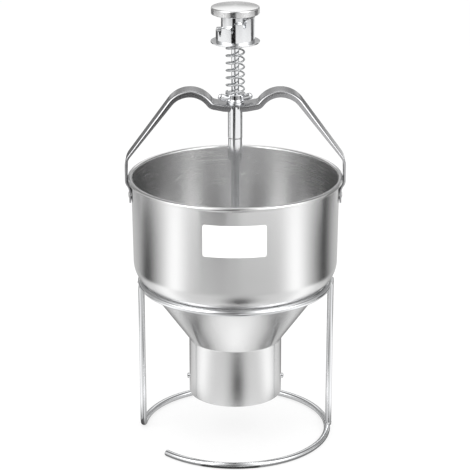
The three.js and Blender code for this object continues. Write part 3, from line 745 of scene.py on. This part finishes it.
def strap_line(s, seat_z, knee_x, tab_low):
    """Top line of one arm in X and Z, from the middle to the tab's end.

    A flat seat and a slope up the dish, a fillet into the arch, the straight arm, the knee and
    the foot with its joggle in to the tab.
    """
    dish, fillet, knee, seat_end = 11, 4.0, 18.0, 8.8
    tab_x = TAB_INSIDE + s.sheet
    crown = np.array((41.5, seat_z + 13.7 - s.crown))
    along = np.array((math.cos(math.radians(dish)), math.sin(math.radians(dish))))
    up = np.array((-along[1], along[0]))
    start = np.array((seat_end, seat_z)) + up * fillet
    to_crown = crown - start
    ahead = to_crown @ along - math.sqrt((s.crown + fillet) ** 2 - (to_crown @ up) ** 2)
    fillet_centre = start + along * ahead
    meet = math.degrees(math.atan2(*(fillet_centre - crown)[::-1]))
    arch = arc(crown, s.crown, meet, 90 - s.slope, 40)
    slope = math.radians(s.slope)
    knee_start_x = knee_x - knee + knee * math.sin(slope)
    knee_z = arch[-1, 1] - (knee_start_x - arch[-1, 0]) * math.tan(slope) - knee * math.cos(slope)
    foot = [(knee_x, knee_z), (knee_x, JOGGLE_TOP), (tab_x, JOGGLE_LOW), (tab_x, tab_low)]
    seat = [(0, seat_z), (seat_end, seat_z), fillet_centre - up * fillet]
    return np.vstack((
        [(0, seat_z)],
        softened(seat, 3, closed=False)[1:-1],
        arc(fillet_centre, fillet, dish - 90, meet - 180, 12),
        arch[1:],
        arc((knee_x - knee, knee_z), knee, 90 - s.slope, 0, 20),
        softened(foot, 4, closed=False, steps=8)[1:],
    ))


def mirrored(rows, flip=1):
    """Rows from the last to the first, times flip, then on from the first to the last."""
    return np.concatenate(((rows * flip)[:0:-1], rows))


class DISPENSER_OT_handle(Part, bpy.types.Operator):
    """Builds the pressed strap handle with its lips, arches and tabs"""
    bl_idname = "dispenser.handle"
    bl_label = "Handle"
    group = "dispenser_handle"

    def build(self, s):
        tab_low, _, knee_x = span("handle_bracket")
        line = strap_line(s, span("clamp_washer")[0], knee_x, tab_low)
        gone = travelled(line)
        total, half_notch = gone[-1], s.notch / 2
        stations = np.unique(np.round(np.concatenate((
            gone, np.linspace(0, total, 90), half_notch + np.linspace(-0.2, 1.6, 14),
            total - np.array([0.02, 0.1, 0.25, 0.5, 0.8, 1.2, 1.7, 2.3, 3]))), 3))
        tangent = unit(np.gradient(line, gone, axis=0))
        tangent[0] = (1, 0)
        top, along = (np.column_stack([np.interp(stations, gone, rows[:, k]) for k in (0, 1)])
                      for rows in (line, tangent))
        down = unit(along)[:, ::-1] * (1, -1)
        # The lips are open at the notch, with a rounded start, and run out towards the knees.
        lip = np.interp(stations, (0.3 * total, total - (JOGGLE_TOP - tab_low)), (s.lip, s.sheet))
        opened = 1 - shortfall((stations - half_notch) / 1.4, 1)
        depth = s.sheet + np.maximum((lip - s.sheet) * opened, 0.05)
        half = s.width / 2 - shortfall(total - stations, 3.0)

        # Mirror the arm, so that one sweep runs from tab end to tab end.
        top, down = mirrored(top, (-1, 1)), mirrored(down, (-1, 1))
        depth, half = mirrored(depth)[:, None], mirrored(half)[:, None]

        # Section: out over the web's rounded edges, down the lips and back inside.
        quarter = np.radians(np.linspace(0, 90, 7))[None]
        cos, sin = np.cos(quarter), np.sin(quarter)
        outer = np.minimum(2.0, 0.45 * depth)
        inner = np.minimum(0.9, 0.5 * (depth - s.sheet))
        inside = half - s.sheet
        across = np.hstack((
            -half + outer - outer * cos, half - outer + outer * sin,
            half, inside, inside - inner + inner * cos, -inside + inner - inner * sin,
            -inside, -half))
        sunk = np.hstack((
            outer - outer * sin, outer - outer * cos,
            depth, depth, s.sheet + inner - inner * sin, s.sheet + inner - inner * cos,
            depth, depth))
        x, z = (top[:, k:k + 1] + down[:, k:k + 1] * sunk for k in (0, 1))
        grid = np.stack((x, across, z), -1)
        stand_in("handle_bracket", [(grid, False)], "strap_steel", sharp=50)


def wing(low, turn):
    """One lobe of the wing nut: an elliptical bar that rises from the hub to a round, wider tip.

    The axis goes from the hub at x 5.9 to the tip and lifts by the square of the share t. The half
    height is 2.8 + 0.7 t mm less a quarter circle at the tip, and the half thickness 0.6 of it.
    """
    t = np.append(np.linspace(0, 0.7, 12), 0.7 + 0.3 * np.sin(np.radians(np.linspace(8, 89, 12))))
    axis = np.column_stack((5.9 + 9.7 * t, np.zeros_like(t), low + 3.1 + 2.7 * t ** 2))
    up = unit(np.gradient(axis, axis=0))[:, ::-1] * (-1, 1, 1)
    half = (2.8 + 0.7 * t) * (1 - shortfall((1 - t) / 0.3, 1))
    return placed(tube(axis, up, np.maximum(half, 0.05), 24, flat=0.6), at(turn=turn))


class DISPENSER_OT_guide(Part, bpy.types.Operator):
    """Builds the guide tube, the washer, the wing nut and the spring's seat"""
    bl_idname = "dispenser.guide"
    bl_label = "Guide and wing nut"
    group = "dispenser_handle"

    def build(self, s):
        low, top, radius = span("guide_tube")
        shoulder = span("clamp_washer")[0] - s.sheet
        guide = turned([(4, low), (radius, low), (radius, shoulder), (5, shoulder), (5, top),
                        (4, top)], 96, 0.35)
        stand_in("guide_tube", [guide])
        for node in ("clamp_washer", "spring_seat"):
            ring_in(node, NECK_BORE, 0.4)
        low, top = span("wing_nut")[0], span("spring_seat")[0]
        hub = turned([(NECK_BORE, low), (7.6, low), (7.6, low + 1.3), (6.7, low + 2.4),
                      (6.4, top - 0.6), (6.4, top), (NECK_BORE, top)], 96, 0.5)
        stand_in("wing_nut", [hub, wing(low, 8), wing(low, 188)])


class DISPENSER_OT_spring(Part, bpy.types.Operator):
    """Builds the coil spring between the spring's seat and the thrust washer"""
    bl_idname = "dispenser.spring"
    bl_label = "Spring"

    def build(self, s):
        seat = span("spring_seat")[1]
        top = span("thrust_washer")[0]
        wire, turns = s.spring_wire, 7.3
        turn_share = np.linspace(0, 1, int(turns * 48))
        # Both ends lie a little flatter than the coils between them.
        pace = np.clip(np.minimum(turn_share, 1 - turn_share) * turns / 0.35, 0.3, 1)
        height = np.append(0, np.cumsum((pace[1:] + pace[:-1]) / 2))
        height = seat + wire + 0.05 + height / height[-1] * (top - seat - 2 * wire - 0.1)
        turn = math.radians(150) + turn_share * turns * 2 * math.pi
        path, outward = on_cylinder(turn, height, s.spring)
        coil = tube(path, outward, end_taper(path, wire, 0.3), sides=14)
        spring = stand_in("return_spring", [coil], "spring_wire")
        press = next(j for j in frame["joints"] if j["name"] == "plunger_press")["range_m"][1] / MM
        1 - press / (top - seat)
        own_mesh(spring)


class DISPENSER_OT_rod(Part, bpy.types.Operator):
    """Builds the plunger's rod, its stop collar with set screw, and the level pin"""
    bl_idname = "dispenser.rod"
    bl_label = "Rod and collar"

    def build(self, s):
        low, high, rod_radius = span("plunger_rod")
        shoulder = span("piston_disc")[1]
        rod = bar([(2, low), (2.5, low + 0.5), (2.5, shoulder), (rod_radius, shoulder),
                   (rod_radius, high)], 64, 0.2)
        stand_in("plunger_rod", [rod])
        low, high, radius = span("stop_collar")
        # The collar's foot narrows along a quarter of an ellipse.
        quarter, narrow, foot = np.radians(np.linspace(0, 90, 14)), 4.9, 3.5
        outline = np.vstack((
            [(ROD_BORE, low + 0.3), (4.2, low)],
            np.column_stack((narrow + (radius - narrow) * np.sin(quarter),
                             low + foot * (1 - np.cos(quarter)))),
            [(radius, high - 0.35), (radius - 0.35, high), (ROD_BORE, high)]))
        stand_in("stop_collar", [turned(outline)])
        low, high = corners("collar_screw")
        to_front = at((0, low[1] + 0.35, (low[2] + high[2]) / 2), "X", 90)
        socket = head(1.65, 0.3, hex_recess(1.5, 0.9), 72)
        shank = bar([(1.45, -1.7), (1.6, -1.4), (1.6, 0.1)], 32, core=0.2)
        stand_in("collar_screw", [placed(socket, to_front), placed(shank, to_front)],
                 "spring_wire", "satin_steel")
        low, high, _ = span("level_pin")
        start, end, chamfer = -3 - rod_radius, s.cup - 0.3, 0.4
        pin = bar([(s.pin - chamfer, start), (s.pin, start + chamfer), (s.pin, end - chamfer),
                   (s.pin - chamfer, end)], 40, 0.15)
        lay = at((0, 0, (low + high) / 2), "Z", s.pin_turn - 90) @ at(axis="Y", turn=90)
        stand_in("level_pin", [placed(pin, lay)])


class DISPENSER_OT_knob(Part, bpy.types.Operator):
    """Builds the push knob with its domed top, and the sleeve under it"""
    bl_idname = "dispenser.knob"
    bl_label = "Knob"

    def build(self, s):
        low, high, _ = span("push_knob")
        lift, edge_round, foot_round, socket = 1.2, 1.4, 0.8, low + 3.4
        crown = s.cap - edge_round
        dome = (crown ** 2 + lift ** 2) / (2 * lift)
        top = arc((0, high - dome), dome, math.degrees(math.acos(crown / dome)), 89.4, 20)
        outline = np.vstack((
            [(0.2, socket), (ROD_BORE, socket), (ROD_BORE, low), (s.cap - foot_round - 0.3, low)],
            arc((s.cap - foot_round, low + foot_round), foot_round, -90, 0, 6),
            arc((crown, high - lift - edge_round), edge_round, 0, 86, 12),
            top[1:]))
        knob = turned(outline, 160, closed=False)
        stand_in("push_knob", [knob], "satin_knob", sharp=30)
        ring_in("knob_sleeve", ROD_BORE, 0.5, segments=128)


def slot_middle(s, step):
    """Angle of the middle of a step's slot: before the next riser by the land and half the slot."""
    return s.first_riser + step * s.tread - math.degrees((s.slot_land + s.slot_width / 2) / s.cup)


def cup_top(turn, s, first):
    """Height of the cup's edge at angles in degrees: steps, their chamfers and the U slots.

    Past the first riser, a step's number is one more than the whole part of the angle over the
    tread's angle, three at most. The lowest step, number 0, lies before the first riser. Each
    step but the top one has a slot, and the nearest slot to an angle sinks the edge there.
    """
    past = (turn - s.first_riser + 1e-9) % 360
    lowest = past >= 360 - s.lowest
    step = np.where(lowest, 0, np.minimum(np.floor(past / s.tread) + 1, 3))
    height = first + step * s.rise
    arc_mm = np.radians(past - (step - 1) * s.tread) * s.cup
    height = np.where((step > 0) & (arc_mm < 1), height - 1 + np.minimum(arc_mm, 1), height)
    nearest = np.clip(np.round(np.where(lowest, past - 360, past) / s.tread), 0, 2)
    off = np.radians((turn - slot_middle(s, nearest) + 180) % 360 - 180) * s.cup
    radius = s.slot_width / 2
    floor = first + nearest * s.rise - s.slot_depth + shortfall(radius - np.abs(off), radius)
    return np.where(np.abs(off) < radius, floor, height)


class DISPENSER_OT_cup(Part, bpy.types.Operator):
    """Builds the stepped level cup and the thrust washer in it"""
    bl_idname = "dispenser.cup"
    bl_label = "Level cup"

    def build(self, s):
        low, high, flange = span("level_cup")
        cup, bore, well, soft = s.cup, span("knob_sleeve")[2] + 0.4, 15.2, 0.25
        ceiling, flange_top = low + 3.8, low + 1.6
        # Angles just before and after each riser, at its chamfer's foot and across each slot.
        per_mm = math.degrees(1 / cup)
        risers = s.first_riser + np.array([-s.lowest, 0, s.tread, 2 * s.tread])
        sine = np.sin(np.radians(np.linspace(-90, 90, 17))) * 0.9999
        across = s.slot_width / 2 * per_mm * np.append(sine, [-1.001, 1.001])
        slots = [slot_middle(s, step) + across for step in range(3)]
        edges = np.concatenate((risers - 1e-3, risers + 1e-3, risers + per_mm, *slots))
        turn = np.unique(np.round(np.append(edges % 360, np.arange(0, 360, 2.0)), 5))[:, None]
        top = cup_top(turn, s, high - 3 * s.rise)
        fixed = softened([(well, ceiling), (well, low), (flange, low), (flange, flange_top),
                          (cup, flange_top)], 0.5, closed=False)[1:]
        reach = np.append(fixed[:, 0], [cup, cup, cup - soft, bore + soft, bore, bore, well])
        level = np.ones_like(turn)
        height = np.hstack((level * fixed[:, 1], level * (flange_top + 0.4), top - soft, top, top,
                            top - soft, level * ceiling, level * ceiling))
        grid = from_front(reach, np.radians(turn), height)
        stand_in("level_cup", [(grid, True)], sharp=35)
        ring_in("thrust_washer", 4, 0.3)


class DISPENSER_OT_spool(Part, bpy.types.Operator):
    """Builds the dosing insert and the spool of discs that runs in it"""
    bl_idname = "dispenser.spool"
    bl_label = "Insert and spool"

    def build(self, s):
        low, high, radius = span("dosing_insert")
        skirt, tube_in, tube_out = radius - 1.5, 25.3, 26.8
        insert = turned([
            (tube_in, low), (tube_out, low), (tube_out, low + 18.5), (skirt, high - 3),
            (skirt, low + 6), (radius, low + 6), (radius, high), (skirt, high),
            (tube_in, low + 20)], 160, 0.4)
        stand_in("dosing_insert", [insert], "turned_steel")
        for node, soft in (("piston_disc", 0.8), ("cutter_disc", 0.8), ("spool_spacer", 0.3)):
            ring_in(node, SPOOL_BORE, soft, "turned_steel", 128)
        low, high, _ = span("end_nut")
        stand_in("end_nut", [hexagon_nut(SPOOL_BORE, 4.6, low, high)])


# Studio

def lobe(turn, middle, width, amount):
    """A soft panel: amount times e to the minus square of (angle off its middle / width)."""
    off = (turn - middle + 180) % 360 - 180
    return amount * np.exp(-(off / width) ** 2)


def lobes(turn, middle, width, amount):
    """The same soft panel on both sides of the front."""
    return lobe(turn, middle, width, amount) + lobe(turn, -middle, width, amount)


def band(turn, start, end, edge):
    """1 between two angles, 0 outside, with straight edges."""
    off = np.abs((turn - (start + end) / 2 + 180) % 360 - 180)
    return ramp((end - start) / 2 - off, edge)


def gate(value, start, end, edge):
    """1 between two distances, 0 outside, with straight edges."""
    return ramp(np.minimum(value - start, end - value), edge)


def fade(before, after, value, start, width):
    """From before to after as the value goes from start over the width."""
    return before + (after - before) * np.clip((value - start) / width, 0, 1)


def tent_glow(turn, reach, height):
    """Brightness of the light tent by angle from the front, distance and height.

    From the middle outwards, the floor's zones are what the funnel, the nozzle and the hopper
    reflect. Its outer part and the low wall are what the chrome parts and the knob reflect. A
    darker line along the wall outlines round edges, and the roof lights the inside of the bowl.
    """
    dark_front = band(turn, -24, 3, 3)
    gaps = 0.95 * band(turn, 106, 138, 4) + 0.95 * band(turn, -178, -124, 4)
    panels, flanks = lobes(turn, 50, 24, 1), lobes(turn, 135, 32, 1)

    under = 0.58 + lobe(turn, 0, 58, 0.6) + lobes(turn, 95, 16, -0.3)
    shade = 0.75 * gate(reach, 0.087, 0.103, 0.004)
    shade = np.maximum(shade, 0.95 * gate(reach, 0.085, 0.113, 0.004) * band(turn, -24, 18, 8))
    near = 0.74 + lobes(turn, 82, 20, 0.45) + lobes(turn, 150, 16, -0.5)
    stripe = np.interp(reach, (0.12, 0.14, 0.2, 0.3), (0, 1, 1, 0.3))
    near = near + lobe(turn, 5, 17, -0.76) * stripe
    middle = 0.58 + lobes(turn, 66, 15, 0.65) + lobes(turn, 108, 17, -0.52)
    outer = 1.05 - 1.04 * band(turn, -37, np.where(reach < 1.05, -9, 4), 3) - gaps
    glow = fade(under * (1 - shade), near, reach, 0.12, 0.03)
    glow = fade(glow, middle, reach, 0.32, 0.08)
    glow = fade(glow, outer, reach, 0.84, 0.05)

    low_wall = 1.05 - 1.04 * dark_front - gaps
    knob = (0.42 + lobe(turn, -67, 16, 0.5) + lobe(turn, 53, 16, 0.45)
            + lobe(turn, -107, 14, -0.3) + lobe(turn, 104, 14, -0.3)) * (1 - dark_front)
    glow = fade(glow, low_wall, height, 0.005, 0.02)
    glow = fade(glow, knob, height, 0.115, 0.01)
    behind = fade(0, band(turn, 166, 194, 6), reach, 0.3, 0.1)
    glow = glow * (1 - 0.85 * behind) * (1 - 0.6 * gate(height, 0.15, 0.28, 0.03))

    back = band(turn, 150, 210, 20)
    wall = (0.7 - 0.6 * dark_front * (height < 0.45) + lobe(turn, 180, 60, 0.25)
            - 0.35 * back * gate(height, 0.45, 0.8, 0.1) + 0.4 * back * gate(height, 0.8, 1.3, 0.1)
            + (3 * panels - 0.6 * flanks + lobe(turn, 0, 24, -0.6)) * gate(height, 0.42, 1.2, 0.1))
    roof = 0.3 + 1.6 * panels + lobe(turn, 180, 35, 1.0) - 0.25 * flanks
    return fade(fade(glow, wall, height, 0.28, 0.1), roof, height, 0.9, 0.2)


class DISPENSER_OT_stage(Part, bpy.types.Operator):
    """Builds the floor, the light tent, the lamps, the world and the camera"""
    bl_idname = "dispenser.stage"
    bl_label = "Stage"
    group = "dispenser_studio"

    def build(self, s):
        scene = bpy.context.scene
        self.add_floor(s, scene.dispenser_studio.floor)
        self.add_tent()
        self.add_lamps(s)
        self.add_world(s, scene)
        self.add_camera(scene)
        scene.view_settings.view_transform = "Standard"

    def add_floor(self, s, pale):
        """A square 12 m wide just under the feet."""
        side = 6.0
        points = np.array([(-side, -side, 0), (side, -side, 0), (side, side, 0), (-side, side, 0)])

        def shader(graph):
            diffuse = graph.add("ShaderNodeBsdfDiffuse", inputs={0: (*pale, 1)})
            glow = graph.add("ShaderNodeEmission", inputs={0: WHITE, 1: 1.0})
            return graph.add("ShaderNodeMixShader", inputs={
                0: self.seen(graph) * s.lift, 1: diffuse, 2: glow})
        floor = mesh_in_scene("floor", points - (0, 0, 0.0001), [(0, 1, 2, 3)],
                              shaded(bpy.data.materials.new("floor_pale"), shader))

    def seen(self, graph):
        """1 for rays from the camera, or by way of metal or glass."""
        camera, glossy, through = (
            graph.add("ShaderNodeLightPath", output=f"Is {kind} Ray")
            for kind in ("Camera", "Glossy", "Transmission"))
        total = camera + glossy + through
        return total.math("MINIMUM", total, 1.0)

    def add_tent(self):
        """A round tent that only reflections see: floor ring, wall and domed roof."""
        radius, eaves, rise = 1.3, 1.0, 0.8
        ground = np.concatenate((np.linspace(0.002, 0.08, 7), np.linspace(0.083, 0.115, 17),
                                 np.linspace(0.12, radius, 84)))
        wall = np.append(np.linspace(0.01, 0.3, 24), np.linspace(0.33, eaves, 16))
        dome = np.radians(np.linspace(5, 88, 16))
        reach = np.concatenate((ground, np.full_like(wall, radius), radius * np.cos(dome)))[:, None]
        height = np.concatenate((np.full_like(ground, -0.00005), wall,
                                 eaves + rise * np.sin(dome)))[:, None]
        turn = np.linspace(-180, 180, 600, endpoint=False)
        points, faces = shell_faces((from_front(reach, np.radians(turn), height), False))

        def shader(graph):
            level = graph.add("ShaderNodeAttribute", {"attribute_name": "glow"}, output="Fac")
            return graph.add("ShaderNodeEmission", inputs={0: WHITE, 1: level})
        # The last two faces are the flat ends, which stay open here.
        tent = mesh_in_scene("light_tent", points, faces[:-2],
                             shaded(bpy.data.materials.new("tent_light"), shader))
        glow = tent.data.attributes.new("glow", "FLOAT", "POINT")
        glow.data.foreach_set("value", tent_glow(turn, reach, height).astype(np.float32).ravel())
        for ray in ("camera", "diffuse", "transmission", "volume_scatter", "shadow"):
            setattr(tent, "visible_" + ray, False)

    def add_lamps(self, s):
        """Soft square lamps on both sides and one above, turned to the hopper."""
        for name, place, size, strength in (
                ("lamp_left", (-1.1, -0.9, 1.3), 1.2, 1.0),
                ("lamp_right", (1.1, -0.9, 1.3), 1.2, 1.0),
                ("lamp_top", (0.0, 0.4, 1.9), 1.4, 0.9)):
            light = bpy.data.lights.new(name, "AREA")
            light.size = size
            light.energy = s.lamps * strength
            lamp = in_scene(name, light)
            x, y, z = unit(np.array(place) - (0, 0, 0.15))
            lamp.location = place
            lamp.rotation_euler = (math.acos(z), 0, math.atan2(y, x) + math.pi / 2)
            lamp.visible_glossy = False

    def add_world(self, s, scene):
        """A plain even fill of white light from all round, which the camera sees as white."""
        scene.world = shaded(bpy.data.worlds.new("studio"), lambda graph: graph.add(
            "ShaderNodeBackground", inputs={0: WHITE, 1: s.fill}), "World")

    def add_camera(self, scene):
        """The photograph's viewpoint: 1.68 m in front, looking down 19.4 degrees."""
        focal, right, up = 1896.8, -0.3, 3.9  # The focal length and both shifts, in pixels.
        camera = bpy.data.cameras.new("camera")
        camera.sensor_width = 36
        camera.lens = focal / IMAGE_SIDE * camera.sensor_width
        camera.shift_x, camera.shift_y = right / IMAGE_SIDE, up / IMAGE_SIDE
        camera.clip_end = 30
        view = in_scene("camera", camera)
        view.location = (0, -1.6805, 0.7855)
        view.rotation_euler = (math.radians(90 - 19.37), 0, 0)
        scene.camera = view


# Panel and registration

OPERATORS = (
    DISPENSER_OT_stage,
    DISPENSER_OT_stand,
    DISPENSER_OT_hopper,
    DISPENSER_OT_plate,
    DISPENSER_OT_fasteners,
    DISPENSER_OT_handle,
    DISPENSER_OT_guide,
    DISPENSER_OT_spring,
    DISPENSER_OT_rod,
    DISPENSER_OT_knob,
    DISPENSER_OT_cup,
    DISPENSER_OT_spool,
)


class DISPENSER_PT_panel(bpy.types.Panel):
    """Lists the settings and the parts"""
    bl_idname = "DISPENSER_PT_panel"
    bl_label = "Batter Dispenser"
    bl_space_type = "VIEW_3D"
    bl_region_type = "UI"
    bl_category = "Dispenser"

    def draw(self, context):
        for name in GROUPS:
            settings = getattr(context.scene, name)
            column = self.layout.column(align=True)
            for prop in settings.bl_rna.properties:
                if prop.type == "FLOAT":
                    column.prop(settings, prop.identifier)
        for operator in OPERATORS:
            self.layout.operator(operator.bl_idname)


def register():
    for cls in (*GROUPS.values(), *OPERATORS, DISPENSER_PT_panel):
        bpy.utils.register_class(cls)
    for name, cls in GROUPS.items():
        setattr(bpy.types.Scene, name, bpy.props.PointerProperty(type=cls))


def unregister():
    for name in GROUPS:
        delattr(bpy.types.Scene, name)
    for cls in reversed((*GROUPS.values(), *OPERATORS, DISPENSER_PT_panel)):
        bpy.utils.unregister_class(cls)


def main():
    register()
    for operator in OPERATORS:
        getattr(bpy.ops.dispenser, operator.bl_idname.split(".")[1])()


if __name__ == "__main__":
    main()
